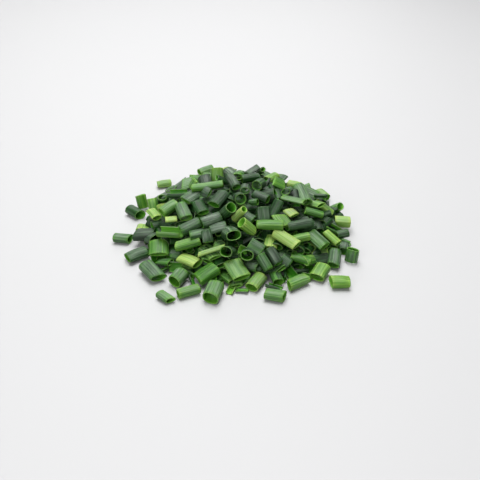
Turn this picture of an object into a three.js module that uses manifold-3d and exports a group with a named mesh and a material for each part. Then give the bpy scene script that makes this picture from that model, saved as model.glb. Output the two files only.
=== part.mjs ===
// A heap of chopped chives: short lengths of the hollow leaves, lying as they fell on a flat surface.
// Millimetres, +Z up. The origin is on the surface, under the middle of the heap's bounding box.
//
// Each chopped length is one piece. The ones that lie loose round the foot, and the ones that stand out on
// top, are meshes of their own. The rest hold together as one mesh, the heap, round a plain smaller core.

import * as THREE from "three";
import { mergeVertices } from "three/addons/utils/BufferGeometryUtils.js";
import Module from "manifold-3d";

// ---------------------------------------------------------------- driving dimensions

const MIDDLE = { x: 1, y: -3 }; // of the heap
// The heap's outer form: it reaches less far back than forward, and it is lower to the right by its lean.
const HEAP = { halfWidth: 52, halfDepth: 46, halfBack: 37, peak: 27.5, fullness: 0.8, lean: 0.12 };
const FOOT = { halfWidth: 50.5, halfDepth: 49, halfBack: 36 }; // the floor plan that its pieces keep to
const WALL = 0.7; // a leaf's wall,
const WALL_SHARE = 0.32; // and the most of a flat leaf's thickness that it takes
const SHUT_THICK = 1.9; // a leaf that has been pressed shut,
const SHUT_WIDER = 1.12; // which makes it wider
const SHUT_SHARE = 0.3; // how many are pressed shut,
const SPLIT_SHARE = 0.1; // how many have split open,
const SPLIT_OPEN = 1.8; // and how wide, as an angle
const NAMED_SIDES = 10; // corners round a named piece
const HEAP_SIDES = 6; // corners round a piece of the heap
const GAP = 0.35; // air left between two meshes
const PRESS = 0.6; // how far the pieces of the heap sink into each other
const CORE = { halfWidth: 46, halfDepth: 40, halfBack: 32, peak: 21.5, fullness: 0.8, lean: 0.12 };
const CORE_SEGMENTS = 20;
const CORE_RINGS = 5;
const ROOTED = 1.2; // each piece of the heap is let down until it reaches at least this far into the core
const FLOOR_CUT = 5; // depth of what is cleared away below the surface
const SEEN_DEPTH = 0.6; // a piece shows where it lies this near to the surface,
const SEEN_CELLS = 18; // and it is built where it shows over this many cells of the map
const EVEN = 0.12; // the heap's mesh is evened out to this

// The settling rule: each piece tries some poses and keeps the one in which its middle lies lowest.
const SPOTS = 84; // places in one layer over the whole floor plan
// First the heap itself, then smaller and steeper pieces for what is still open between the named ones.
const FIRST = { tries: 1700, poses: 20, tilt: 42, length: [7, 12.5], width: [4.6, 7], out: 1.4 };
const LAST = {
  rounds: 8, spacing: 4.5, hollow: 2.2, poses: 36, tilt: 60, length: [5, 9], width: [3.8, 5.8], out: 1.8,
};
const FOOT_HEIGHT = 5.2; // pieces may lie on the floor up to this height, right out to the heap's edge
const NAMED_DEPTH = 2.7; // how far the middle of a named piece lies under it
const CLASH_SHARE = 0.25; // a piece gives way when this share of its skin is inside one placed by hand,
const HIDE_SHARE = 0.12; // or when this share would hide one
const DRIFT = 4; // how far a piece may slide from its place
const MAX_ROLL = 35;
const CELL = 1; // the height map's cell
const MAP_HALF = 72;
const MAP_SHIFT = 0.37; // keeps round numbers off the cells' edges
const SKIN_STEP = 0.8;
const SKIN_AROUND = 24;
const SLIDES = [0, 1, -1, 2, -2]; // how far a named piece may slide
const REACH = 16; // two pieces further apart than this can't touch
const SAME = 1e-6; // heights nearer than this are the same
const MERGE = 1e-4; // and so are corners nearer than this
const GOLDEN_TURN = Math.PI * (3 - Math.sqrt(5));

const DARK = 0x35553a;
const MID = 0x4c8434;
const LIGHT = 0x8fb84a;

// The named pieces: name, middle x and y, heading, tilt of the +X end, length, width, thickness, colour, and
// what else differs. Headings and tilts are in degrees. They are laid in this order.
const NAMED = [
  ["far_left", -54, -14.5, -9, 0, 8.6, 5, 4.4, MID, { slant: [0, 0.25] }],
  ["left_lying", -51.5, 7.5, -43, 0, 9.5, 5.4, 4.8, DARK, { slant: [0.1, 0.3] }],
  ["back_left_loose", -40.5, 36.5, 13, 0, 7.5, 4.4, 4, LIGHT, {}],
  ["left_yellow", -40, -7.5, -60, 0, 7.8, 4.8, 3, LIGHT, {}],
  ["left_blue", -43, -15.5, -2, 6, 10, 6.4, 5, DARK, { slant: [0.3, 0] }],
  ["left_low", -46, -27.5, 35, 0, 9.5, 6.4, 4.6, DARK, {}],
  ["front_left_big", -37.5, -40.5, -54, 0, 12.5, 6.8, 5.8, DARK, { slant: [0.1, 0.25] }],
  ["front_cup", -26.5, -45, 68, -4, 8.5, 6.4, 5.4, MID, { slant: [0.3, 0] }],
  ["front_loose_left", -30.5, -56, -42, 0, 8, 4.1, 3.4, MID, { slant: [0.2, 0.4] }],
  ["front_low", -21.5, -52.5, 24, 0, 9.5, 4.6, 4.2, MID, {}],
  ["front_mid", -12.5, -54, 76, 0, 9.5, 6.9, 5.6, MID, { slant: [0.15, 0] }],
  ["front_loose_right", 13.5, -55, -15, 0, 8.8, 5.2, 4.4, MID, { slant: [0.1, 0.15] }],
  ["front_dark", 14.5, -44, -78, 0, 7, 4.8, 4.4, MID, {}],
  ["front_curl", -4, -49.5, 70, 0, 6.5, 3.2, 2.6, LIGHT, { split: 2.2 }],
  ["front_green", 7, -46.5, 62, 0, 9, 6, 4.4, LIGHT, {}],
  ["front_right_a", 22, -46.5, 33, 0, 10.5, 5, 4.6, MID, { slant: [0.3, 0] }],
  ["front_right_b", 31, -40.5, 62, 3, 8, 6.6, 5.2, LIGHT, {}],
  ["right_loose", 38.5, -46.5, 1, 0, 8.5, 6.2, 4.6, LIGHT, { slant: [-0.15, 0] }],
  ["right_dark", 40, -31.5, 78, 8, 9.5, 5.6, 5, DARK, { slant: [0.2, 0] }],
  ["right_cup", 46, -29, 60, 80, 6, 5.6, 5, MID, {}],
  ["right_foot", 45.5, -21.5, 80, 0, 6, 5, 4, DARK, {}],
  ["right_bright", 47, -4, -6, 0, 7.5, 5.8, 5, LIGHT, {}],
  ["right_grey", 45.5, -14, 20, 0, 6, 4.6, 3.6, DARK, {}],
  ["back_right_pale", 41, 26, -65, 0, 8, 4.6, 4, LIGHT, {}],
  ["left_standing", -49, 14.5, 120, 62, 7, 5.2, 4.6, MID, {}],
  ["back_loose", -19.5, 51, 35, 0, 8.5, 4.8, 4.2, MID, {}],
  ["front_big_left", -16.5, -44.5, 34, 16, 10, 7.2, 6, MID, { slant: [0.1, -0.1] }],
  ["front_square", -1, -44, -62, -16, 10, 8.2, 4.2, MID, { slant: [0.1, 0] }],
  ["yellow_wide", -24, -37.5, -30, -3, 10, 6, 3.8, LIGHT, { slant: [0.2, 0.2] }],
  ["left_square", -36, -27.5, -86, -16, 7.8, 8.6, 3.2, MID, {}],
  ["sliver_long", -13.5, -37.5, 12, 13, 13, 2.6, 1.8, LIGHT, { slant: [0.4, 0.4] }],
  ["right_big", 34, -25.5, -46, -18, 9.5, 6.8, 4.4, MID, {}],
  ["right_light", 40, -20.5, -47, -16, 8.5, 4.2, 3.4, LIGHT, {}],
  ["left_open", -32, -24, -18, 8, 11.5, 5.6, 4.4, MID, { split: 1.9 }],
  ["left_mouth", -33.5, -10.5, 38, 18, 8.5, 5.6, 5, MID, {}],
  ["left_back_cup", -42, 4.5, 110, 50, 7, 4.8, 4.2, MID, {}],
  ["left_gutter", -29.5, -1.5, -10, 8, 8.5, 5, 4, DARK, { split: 2 }],
  ["left_long", -25, -31, 10, 12, 11.5, 5, 4.4, MID, { slant: [0.25, 0] }],
  ["grey_square", -16.5, -34, -74, -40, 5.5, 4.6, 2.6, DARK, {}],
  ["low_dark", 13.5, -39, -56, -28, 8, 4.6, 4, DARK, {}],
  ["mouth_low", 1.5, -38.5, 84, -26, 7, 5.6, 4.6, DARK, {}],
  ["mid_long", 18.5, -30.5, -35, -14, 13, 5.8, 3.6, LIGHT, { slant: [-0.2, 0.1], roll: 15 }],
  ["mouth_wide", -4.5, -31.5, 110, -24, 8.5, 6.6, 6, DARK, {}],
  ["left_mid", -25.5, -17, -70, -8, 9.5, 5.6, 4.8, MID, {}],
  ["right_dark_long", 25, -24.5, 22, -4, 12.5, 4.8, 4, DARK, {}],
  ["mouth_bright", 1.5, -28.5, 190, 45, 7.5, 5.4, 5, LIGHT, {}],
  ["bright_mid", -1, -23, -20, 52, 7.5, 4, 3.4, LIGHT, {}],
  ["right_green", 32.5, -11.5, -6, -14, 8.5, 4.2, 3.6, MID, {}],
  ["diamond_near", -18, -17.5, -68, -6, 8.5, 5.6, 3, DARK, {}],
  ["diamond_wide", -10, -14.5, -118, -8, 9.5, 6.4, 3.4, DARK, {}],
  ["mouth_mid", -2, -14.5, 100, -20, 6.5, 5.2, 5, DARK, {}],
  ["right_top_long", 28, -0.5, -79, -4, 14, 6, 3.8, MID, {}],
  ["mouth_back", 8, -3, 65, -14, 7, 5, 4.6, DARK, { slant: [0, 0.2] }],
  ["long_top", -15.5, -4, 7, 6, 15, 4.4, 4, MID, { slant: [0.2, 0.1] }],
  ["grey_down", -4, -2.5, -67, -6, 9.5, 4.4, 4, DARK, {}],
  ["top_green_right", 14, 10.5, 50, -4, 7.5, 4.6, 4, LIGHT, {}],
  ["top_green_left", -20, 11, -16, 4, 7.5, 4, 3.4, MID, {}],
  ["top_cup", -11.5, 8.5, 98, 50, 7, 5.8, 5, LIGHT, {}],
  ["top_grey", -7, 10.5, -60, 4, 7.5, 5.8, 4.6, DARK, {}],
];
// Some more stand out that the heap holds: the same figures, without a name and a colour.
const HELD = [
  [12, -26.5, 2, -4, 11.5, 4.8, 4.2, {}],
  [6, -36, -23, -22, 6.8, 6, 1.9, { roll: 30 }],
  [9.5, -40.5, -51, -34, 7.5, 4.4, 3.8, {}],
  [-6.5, -21.5, -30, 50, 7.5, 6, 5.4, {}],
  [9.5, -22, -85, -46, 6.5, 5.6, 1.9, {}],
  [14.5, -18, -124, -34, 8.5, 5, 2.4, {}],
  [21.5, -17.5, -40, -20, 6, 5.5, 1.9, { slant: [0.4, 0.2] }],
  [17.5, -23, -50, -28, 8.5, 7, 1.9, { slant: [0.4, 0.2] }],
  [25.5, -28, 14, 4, 7.5, 3.8, 3.6, {}],
  [-10, -28.5, 12, 10, 7.5, 4.6, 1.9, { roll: 30 }],
  [-13, -25, 20, 10, 9, 5.4, 5, {}],
  [-22, -25.5, 25, 14, 9.5, 5.6, 5, {}],
  [-17.5, -29.5, 12, 6, 9.5, 4.6, 4, {}],
  [-25, 8.5, 24, 4, 10, 7, 1.9, { slant: [0.4, -0.3], roll: 15 }],
  [-37.5, 12, 35, 12, 9, 4.2, 3.8, {}],
  [-1.5, 4.5, -100, 22, 6, 4.8, 4.6, {}],
  [-5.5, -37.5, 70, -30, 7, 5.6, 4.6, {}],
  [18.5, -38.5, -35, -20, 5, 4.4, 1.9, { roll: 30 }],
  [-31, -18, 10, 0, 5.5, 4, 1.9, {}],
  [-36.5, 2, -100, 40, 6, 4.4, 4, {}],
  [1.5, -8.5, 88, -16, 6, 4.4, 4.2, {}],
  [8.5, -12.5, -32, -6, 7.5, 4.8, 4, {}],
  [25, -36, -14, -12, 9, 4.6, 4, {}],
  [4, 3, 20, 0, 9, 4.4, 4, {}],
  [25, 10, -20, 0, 6.5, 5, 4.2, {}],
];

// ---------------------------------------------------------------- a repeatable random draw

let draw = 7151;

function random() {
  draw = (draw * 48271) % 2147483647;
  return draw / 2147483647;
}

function between(low, high) {
  return low + (high - low) * random();
}

// ---------------------------------------------------------------- one chopped length

// A leaf lies along X, its width is along Y and its thickness along Z. slant gives each cut's slope in plan,
// and split is the angle that is open along the top of a leaf that has burst.

// Where the leaf reaches along X at a share of its length, both cuts staying inside that length.
function alongLeaf(leaf, share, y) {
  const [near, far] = leaf.slant;
  const start = -leaf.length / 2 + (leaf.width / 2) * Math.abs(near) + near * y;
  const end = leaf.length / 2 - (leaf.width / 2) * Math.abs(far) + far * y;
  return start + (end - start) * share;
}

// The leaf's outside as points, close enough together to feel what lies under it.
function skinOf(leaf) {
  const along = Math.ceil(leaf.length / SKIN_STEP);
  const points = [];
  for (let i = 0; i <= along; i++) {
    for (let j = 0; j < SKIN_AROUND; j++) {
      const turn = (2 * Math.PI * j) / SKIN_AROUND;
      const y = (leaf.width / 2) * Math.cos(turn);
      points.push([alongLeaf(leaf, i / along, y), y, (leaf.thick / 2) * Math.sin(turn)]);
    }
  }
  return points;
}

// The leaf's section, drawn round the ellipse that its sides touch: a ring, or an arc where it is split.
function sectionOf(leaf, sides, grow) {
  const corner = (turn, inset) => {
    const out = 1 / Math.cos(Math.PI / sides);
    return new THREE.Vector2(
      (leaf.width / 2 - inset) * out * Math.cos(turn),
      (leaf.thick / 2 - inset) * out * Math.sin(turn),
    );
  };
  const firstTurn = sides % 4 ? 0 : Math.PI / sides; // a flat side goes underneath
  const ring = (inset) =>
    Array.from({ length: sides }, (_, i) => corner(firstTurn + (2 * Math.PI * i) / sides, inset));
  if (grow) return new THREE.Shape(ring(-grow));
  if (leaf.thick <= SHUT_THICK) return new THREE.Shape(ring(0));
  const wall = Math.min(WALL, leaf.thick * WALL_SHARE);
  if (!leaf.split) {
    const shape = new THREE.Shape(ring(0));
    shape.holes.push(new THREE.Path(ring(wall)));
    return shape;
  }
  const steps = sides - 2;
  const arc = (inset) =>
    Array.from({ length: steps + 1 }, (_, i) => {
      const share = i / steps;
      return corner(Math.PI / 2 + leaf.split / 2 + share * (2 * Math.PI - leaf.split), inset);
    });
  return new THREE.Shape([...arc(0), ...arc(wall).reverse()]);
}

// The leaf's solid geometry. With grow it is the room that the leaf needs round it, filled in.
function leafGeometry(leaf, sides, grow = 0) {
  const geometry = new THREE.ExtrudeGeometry(sectionOf(leaf, sides, grow), {
    depth: 1,
    steps: 1,
    bevelEnabled: false,
  });
  const corners = geometry.getAttribute("position");
  for (let i = 0; i < corners.count; i++) {
    const y = corners.getX(i);
    const share = corners.getZ(i);
    const x = alongLeaf(leaf, share, y) + (2 * share - 1) * grow;
    corners.setXYZ(i, x, y, corners.getY(i));
  }
  return geometry;
}

// ---------------------------------------------------------------- settling on what lies below

const mapSize = (2 * MAP_HALF) / CELL;
const ground = new Float64Array(mapSize * mapSize); // the top of what lies there

function cellAt(x, y) {
  const column = Math.floor((x + MAP_SHIFT) / CELL) + MAP_HALF / CELL;
  const row = Math.floor((y + MAP_SHIFT) / CELL) + MAP_HALF / CELL;
  return row * mapSize + column;
}

// How far out a point of a floor plan is: 0 in the middle of the heap, 1 at the plan's edge.
function outness(plan, x, y) {
  const halfDepth = y < MIDDLE.y ? plan.halfDepth : plan.halfBack;
  return ((x - MIDDLE.x) / plan.halfWidth) ** 2 + ((y - MIDDLE.y) / halfDepth) ** 2;
}

// A mound's height at one side or the other, as a share of the height that it would have without its lean.
function leaning(mound, x) {
  return 1 - (mound.lean * (x - MIDDLE.x)) / mound.halfWidth;
}

// How high a mound stands over a point of its floor plan.
function moundHeight(mound, x, y) {
  return mound.peak * leaning(mound, x) * Math.max(1 - outness(mound, x, y), 0) ** mound.fullness;
}

// Points of a leaf turned as it lies: rolled about its length, tilted nose up, then headed about Z.
function turnPoints(points, pose) {
  const [ch, sh] = [Math.cos(pose.heading), Math.sin(pose.heading)];
  const [ct, st] = [Math.cos(pose.tilt), Math.sin(pose.tilt)];
  const [cr, sr] = [Math.cos(pose.roll), Math.sin(pose.roll)];
  return points.map(([x, y, z]) => {
    const side = y * cr - z * sr;
    const lift = y * sr + z * cr;
    const fore = x * ct - lift * st;
    return [pose.x + fore * ch - side * sh, pose.y + fore * sh + side * ch, x * st + lift * ct];
  });
}

// The height of a leaf's middle at which it first touches what lies below.
function restingHeight(turned) {
  let height = 0;
  for (const [x, y, z] of turned) height = Math.max(height, ground[cellAt(x, y)] - z);
  return height;
}

function lay({ leaf, turned, pose }) {
  for (const [x, y, z] of turned) {
    const cell = cellAt(x, y);
    ground[cell] = Math.max(ground[cell], z + pose.z + leaf.clear);
  }
}

// Of the poses offered, the one in which the leaf's middle lies lowest.
function settle(leaf, poses) {
  const skin = skinOf(leaf);
  let best = null;
  for (const pose of poses) {
    const turned = turnPoints(skin, pose);
    const z = restingHeight(turned);
    if (!best || z < best.pose.z - SAME) best = { leaf, pose: { ...pose, z }, turned };
  }
  return best;
}

const degrees = (angle) => (angle * Math.PI) / 180;

const leafOfRow = (size, more) => ({ ...size, slant: [0, 0], split: 0, roll: 0, clear: GAP, ...more });

// A leaf in a pose of its own, lying on the floor or at the heap's surface.
function foundAt(leaf, x, y, heading, tilt) {
  const pose = { x, y, heading: degrees(heading), tilt: degrees(tilt), roll: degrees(leaf.roll) };
  const turned = turnPoints(skinOf(leaf), pose);
  const onFloor = Math.max(...turned.map((point) => -point[2]));
  pose.z = Math.max(moundHeight(HEAP, x, y) - NAMED_DEPTH, onFloor);
  return { leaf, pose, turned };
}

// Each named piece may slide a little, to where it is lifted least by those already there.
function placeNamed() {
  return NAMED.map(([name, x, y, heading, tilt, length, width, thick, colour, more]) => {
    const leaf = leafOfRow({ name, length, width, thick, colour }, more);
    let best = null;
    let leastLift = 0;
    for (const slideY of SLIDES) {
      for (const slideX of SLIDES) {
        const found = foundAt(leaf, x + slideX, y + slideY, heading, tilt);
        const lift = Math.max(restingHeight(found.turned) - found.pose.z, 0);
        if (!best || lift < leastLift - SAME) {
          best = found;
          leastLift = lift;
        }
      }
    }
    best.pose.z += leastLift;
    lay(best);
    return best;
  });
}

// What the heap holds lies where its row says, sunk into its neighbours.
function placeHeld() {
  return HELD.map(([x, y, heading, tilt, length, width, thick, more]) =>
    foundAt(leafOfRow({ length, width, thick }, more), x, y, heading, tilt),
  );
}

const named = placeNamed();
const held = placeHeld();
held.forEach(lay);
const placedTop = ground.slice();

// Whether a point is inside the closed outside of a leaf that has been laid.
function isInside([x, y, z], { leaf, pose }) {
  const [dx, dy, dz] = [x - pose.x, y - pose.y, z - pose.z];
  const [ch, sh] = [Math.cos(pose.heading), Math.sin(pose.heading)];
  const [ct, st] = [Math.cos(pose.tilt), Math.sin(pose.tilt)];
  const [cr, sr] = [Math.cos(pose.roll), Math.sin(pose.roll)];
  const [fore, side] = [dx * ch + dy * sh, dy * ch - dx * sh];
  const [along, lift] = [fore * ct + dz * st, dz * ct - fore * st];
  const [across, up] = [side * cr + lift * sr, lift * cr - side * sr];
  const round = (across / (leaf.width / 2)) ** 2 + (up / (leaf.thick / 2)) ** 2;
  return round < 1 && Math.abs(along) < leaf.length / 2;
}

// Whether a piece lies clear of those placed by hand, but for a light touch, and doesn't hide them.
function isClear({ turned, pose }) {
  const isNear = (other) => Math.hypot(other.pose.x - pose.x, other.pose.y - pose.y) < REACH;
  const near = [...named, ...held].filter(isNear);
  const points = turned.map(([x, y, z]) => [x, y, z + pose.z]);
  const inside = points.filter((point) => near.some((other) => isInside(point, other)));
  const hiding = points.filter(([x, y, z]) => {
    const top = placedTop[cellAt(x, y)];
    return top > 0 && z > top;
  });
  return inside.length < CLASH_SHARE * points.length && hiding.length < HIDE_SHARE * points.length;
}

function anyLeaf(pass) {
  const length = between(...pass.length);
  const width = between(...pass.width);
  const flatness = between(0.5, 0.95);
  const slant = [between(-0.3, 0.3), between(-0.3, 0.3)];
  const kind = random();
  const leaf = { length, width, thick: width * flatness, slant, split: 0, clear: -PRESS };
  if (kind < SHUT_SHARE) return { ...leaf, width: width * SHUT_WIDER, thick: SHUT_THICK };
  if (kind > 1 - SPLIT_SHARE) leaf.split = SPLIT_OPEN;
  return leaf;
}

// Offers one piece near a spot. It stays if it lies inside the heap's outer form.
function offer(pass, spotX, spotY, laid) {
  const leaf = anyLeaf(pass);
  const poses = Array.from({ length: pass.poses }, () => ({
    x: spotX + between(-DRIFT, DRIFT),
    y: spotY + between(-DRIFT, DRIFT),
    heading: between(0, 2 * Math.PI),
    tilt: degrees(between(-pass.tilt, pass.tilt)),
    roll: degrees(between(-MAX_ROLL, MAX_ROLL)),
  }));
  const found = settle(leaf, poses);
  const roof = Math.max(moundHeight(HEAP, found.pose.x, found.pose.y) + pass.out, FOOT_HEIGHT);
  if (found.turned.some(([x, y, z]) => z + found.pose.z > roof || outness(FOOT, x, y) > 1)) return;
  if (!isClear(found)) return;
  lay(found);
  laid.push(found);
}

// Offers pieces all over the floor plan in a sunflower's order, layer on layer.
function fillHeap(pass) {
  const laid = [];
  for (let n = 0; n < pass.tries; n++) {
    const out = Math.sqrt(((n % SPOTS) + 0.5) / SPOTS);
    const turn = n * GOLDEN_TURN;
    const halfDepth = Math.sin(turn) > 0 ? HEAP.halfBack : HEAP.halfDepth;
    const x = MIDDLE.x + HEAP.halfWidth * out * Math.cos(turn);
    const y = MIDDLE.y + halfDepth * out * Math.sin(turn);
    offer(pass, x, y, laid);
  }
  return laid;
}

// The ground's average height over the cells round a point.
function averageHeight(x, y) {
  const steps = [-2, -1, 0, 1, 2];
  const heights = steps.flatMap((i) => steps.map((j) => ground[cellAt(x + i * CELL, y + j * CELL)]));
  return heights.reduce((sum, height) => sum + height) / heights.length;
}

// Offers pieces wherever the heap still has a hollow.
function fillHollows(pass) {
  const laid = [];
  for (let round = 0; round < pass.rounds; round++) {
    for (let dy = -HEAP.halfDepth; dy <= HEAP.halfDepth; dy += pass.spacing) {
      for (let dx = -HEAP.halfWidth; dx <= HEAP.halfWidth; dx += pass.spacing) {
        const [x, y] = [MIDDLE.x + dx, MIDDLE.y + dy];
        const depth = moundHeight(HEAP, x, y) - averageHeight(x, y);
        if (depth > pass.hollow) offer(pass, x, y, laid);
      }
    }
  }
  return laid;
}

ground.fill(0);
const under = fillHeap(FIRST);
[...named, ...held].forEach(lay);
const over = fillHollows(LAST);

// ---------------------------------------------------------------- solids

const wasm = await Module();
wasm.setup();

function solidOf(geometry) {
  const bare = geometry.clone();
  bare.deleteAttribute("normal");
  bare.deleteAttribute("uv");
  const merged = mergeVertices(bare, MERGE);
  return new wasm.Manifold(
    new wasm.Mesh({
      numProp: 3,
      vertProperties: merged.getAttribute("position").array,
      triVerts: new Uint32Array(merged.index.array),
    }),
  );
}

function geometryOf(solid) {
  const mesh = solid.getMesh();
  const geometry = new THREE.BufferGeometry();
  geometry.setAttribute("position", new THREE.BufferAttribute(new Float32Array(mesh.vertProperties), 3));
  geometry.setIndex(new THREE.BufferAttribute(new Uint32Array(mesh.triVerts), 1));
  geometry.computeVertexNormals();
  return geometry;
}

// A leaf's place as three.js turns it: roll, then tilt, then heading.
function placeOf({ pose }) {
  const turn = new THREE.Euler(pose.roll, -pose.tilt, pose.heading, "ZYX");
  return new THREE.Matrix4()
    .makeRotationFromEuler(turn)
    .setPosition(pose.x, pose.y, pose.z);
}

// The core: what lies closely packed inside, under the pieces that show.
function coreGeometry() {
  const profile = [new THREE.Vector2(0, 0)];
  for (let i = 0; i < CORE_RINGS; i++) {
    const out = CORE.halfWidth * Math.cos((Math.PI / 2) * (i / CORE_RINGS));
    profile.push(new THREE.Vector2(out, moundHeight(CORE, MIDDLE.x + out, MIDDLE.y)));
  }
  profile.push(new THREE.Vector2(0, CORE.peak));
  const core = new THREE.LatheGeometry(profile, CORE_SEGMENTS);
  core.rotateX(Math.PI / 2);
  const corners = core.getAttribute("position");
  for (let i = 0; i < corners.count; i++) {
    const [x, y] = [corners.getX(i), corners.getY(i)];
    const halfDepth = y < 0 ? CORE.halfDepth : CORE.halfBack;
    const z = corners.getZ(i) * leaning(CORE, MIDDLE.x + x);
    corners.setXYZ(i, MIDDLE.x + x, MIDDLE.y + (y * halfDepth) / CORE.halfWidth, z);
  }
  return core;
}

// Whether enough of a piece shows from above.
function isSeen({ leaf, turned, pose }) {
  const shown = turned.filter(([x, y, z]) => {
    return z + pose.z + leaf.clear > ground[cellAt(x, y)] - SEEN_DEPTH;
  });
  return new Set(shown.map(([x, y]) => cellAt(x, y))).size >= SEEN_CELLS;
}

// How far a piece has to be let down for its lowest side to be rooted in the core.
function heightOverCore({ turned, pose }) {
  const gaps = turned.map(([x, y, z]) => z + pose.z - moundHeight(CORE, x, y));
  return Math.max(0, Math.min(...gaps) + ROOTED);
}

function heapSolid() {
  const pieces = [...held, ...[...under, ...over].filter(isSeen)].map((found) => {
    const geometry = leafGeometry(found.leaf, HEAP_SIDES).applyMatrix4(placeOf(found));
    return solidOf(geometry.translate(0, 0, -heightOverCore(found)));
  });
  const rooms = named.map((found) =>
    solidOf(leafGeometry(found.leaf, HEAP_SIDES, GAP).applyMatrix4(placeOf(found))),
  );
  const below = new THREE.BoxGeometry(2 * MAP_HALF, 2 * MAP_HALF, FLOOR_CUT).translate(0, 0, -FLOOR_CUT / 2);
  const joined = wasm.Manifold.union([solidOf(coreGeometry()), ...pieces]);
  const cleared = joined.subtract(wasm.Manifold.union([solidOf(below), ...rooms])).simplify(EVEN);
  const bodies = cleared.decompose().sort((a, b) => b.volume() - a.volume());
  return bodies[0];
}

// ---------------------------------------------------------------- the object

const object = new THREE.Group();

function addMesh(name, geometry, colour) {
  const material = new THREE.MeshStandardMaterial({ color: colour, roughness: 0.45, metalness: 0 });
  const mesh = new THREE.Mesh(geometry, material);
  mesh.name = name;
  object.add(mesh);
  return mesh;
}

addMesh("heap", geometryOf(heapSolid()), DARK);

for (const found of named) {
  const mesh = addMesh(found.leaf.name, leafGeometry(found.leaf, NAMED_SIDES), found.leaf.colour);
  mesh.applyMatrix4(placeOf(found));
  const lowest = new THREE.Box3().setFromObject(mesh, true).min.z;
  if (lowest < 0) mesh.position.z -= lowest; // a corner would reach through the surface
}

const box = new THREE.Box3().setFromObject(object, true);
object.position.set(-(box.min.x + box.max.x) / 2, -(box.min.y + box.max.y) / 2, 0);

export default object;
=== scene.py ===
# %% [markdown]
# # A heap of chopped chives
#
# Chive leaves are hollow. Chopped across, they make short green tubes, and a handful of them dropped on a
# flat surface lies as a low mound with some strays round its foot. Everything here is one kind of thing, the
# chopped length, several hundred times over. So there are only three jobs: where each length lies, what one
# length looks like, and what its surface is made of.

import math

import bpy
import numpy as np
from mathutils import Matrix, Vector


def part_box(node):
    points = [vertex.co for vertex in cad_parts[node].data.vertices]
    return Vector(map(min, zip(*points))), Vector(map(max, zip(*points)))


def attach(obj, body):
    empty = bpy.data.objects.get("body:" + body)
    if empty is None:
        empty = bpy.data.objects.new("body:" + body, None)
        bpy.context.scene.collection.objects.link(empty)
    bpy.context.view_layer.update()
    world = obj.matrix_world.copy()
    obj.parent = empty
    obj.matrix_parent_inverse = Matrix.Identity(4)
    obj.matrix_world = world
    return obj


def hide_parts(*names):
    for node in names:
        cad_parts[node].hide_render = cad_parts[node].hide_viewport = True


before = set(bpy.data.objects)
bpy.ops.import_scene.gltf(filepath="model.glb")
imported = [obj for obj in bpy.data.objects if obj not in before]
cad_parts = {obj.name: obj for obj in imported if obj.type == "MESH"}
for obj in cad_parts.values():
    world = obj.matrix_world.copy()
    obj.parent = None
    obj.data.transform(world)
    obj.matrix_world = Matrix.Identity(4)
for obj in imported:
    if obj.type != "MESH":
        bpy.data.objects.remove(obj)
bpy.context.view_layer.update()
MM = 0.001

# %% [markdown]
# ## Where the lengths lie
#
# The solid model laid every length by a rule, and this is the same rule, so the fine lengths lie where the
# solid ones do. A physics run could drop them one by one, but it would take minutes and come out a little
# different each time. The rule is quick and always gives the same heap: offer a length near a spot in several
# poses, rest each on a height map of what already lies there, and keep the pose that lies lowest.
#
# All sizes of the rule are in millimetres.

# %% The rule's sizes
# The heap's middle and outer form, and the line on the floor that its lengths stay inside.
MIDDLE = (1.0, -3.0)
HEAP = {
    "half_width": 52.0, "half_depth": 46.0, "half_back": 37.0, "peak": 27.5, "fullness": 0.8, "lean": 0.12,
}
FOOT = {"half_width": 50.5, "half_depth": 49.0, "half_back": 36.0}
# Some leaves are pressed shut and so a little wider, and some are split open, by an angle in radians.
FLATNESS = (0.5, 0.95)
SLANT = (-0.3, 0.3)
SHUT_THICK = 1.9
SHUT_WIDER = 1.12
SHUT_SHARE = 0.3
SPLIT_SHARE = 0.1
SPLIT_OPEN = 1.8
# The room kept round the listed lengths, and how far the other lengths press into each other.
GAP = 0.35
PRESS = 0.6
# The first lengths are offered at spots set like a sunflower's seeds, and the last ones over the hollows.
SPOTS = 84
FIRST = {"tries": 1700, "poses": 20, "tilt": 42, "length": (7, 12.5), "width": (4.6, 7), "out": 1.4}
LAST = {
    "rounds": 8, "spacing": 4.5, "hollow": 2.2,
    "poses": 36, "tilt": 60, "length": (5, 9), "width": (3.8, 5.8), "out": 1.8,
}
FOOT_HEIGHT = 5.2
NAMED_DEPTH = 2.7
# The share of a length that may run into the listed lengths, and the share that may hide them.
CLASH_SHARE = 0.25
HIDE_SHARE = 0.12
# How far a pose may lie from its spot, and a named length from its place, to lie lower.
DRIFT = 4
SLIDES = (0, 1, -1, 2, -2)
MAX_ROLL = 35
# The height map's cells, and the points that feel their way over it.
CELL = 1
MAP_HALF = 72
MAP_SHIFT = 0.37
SKIN_STEP = 0.8
SKIN_AROUND = 24
# Lengths further apart than this never touch, and heights closer than this are the same.
REACH = 16
SAME = 1e-6
GOLDEN_TURN = math.pi * (3 - math.sqrt(5))
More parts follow.
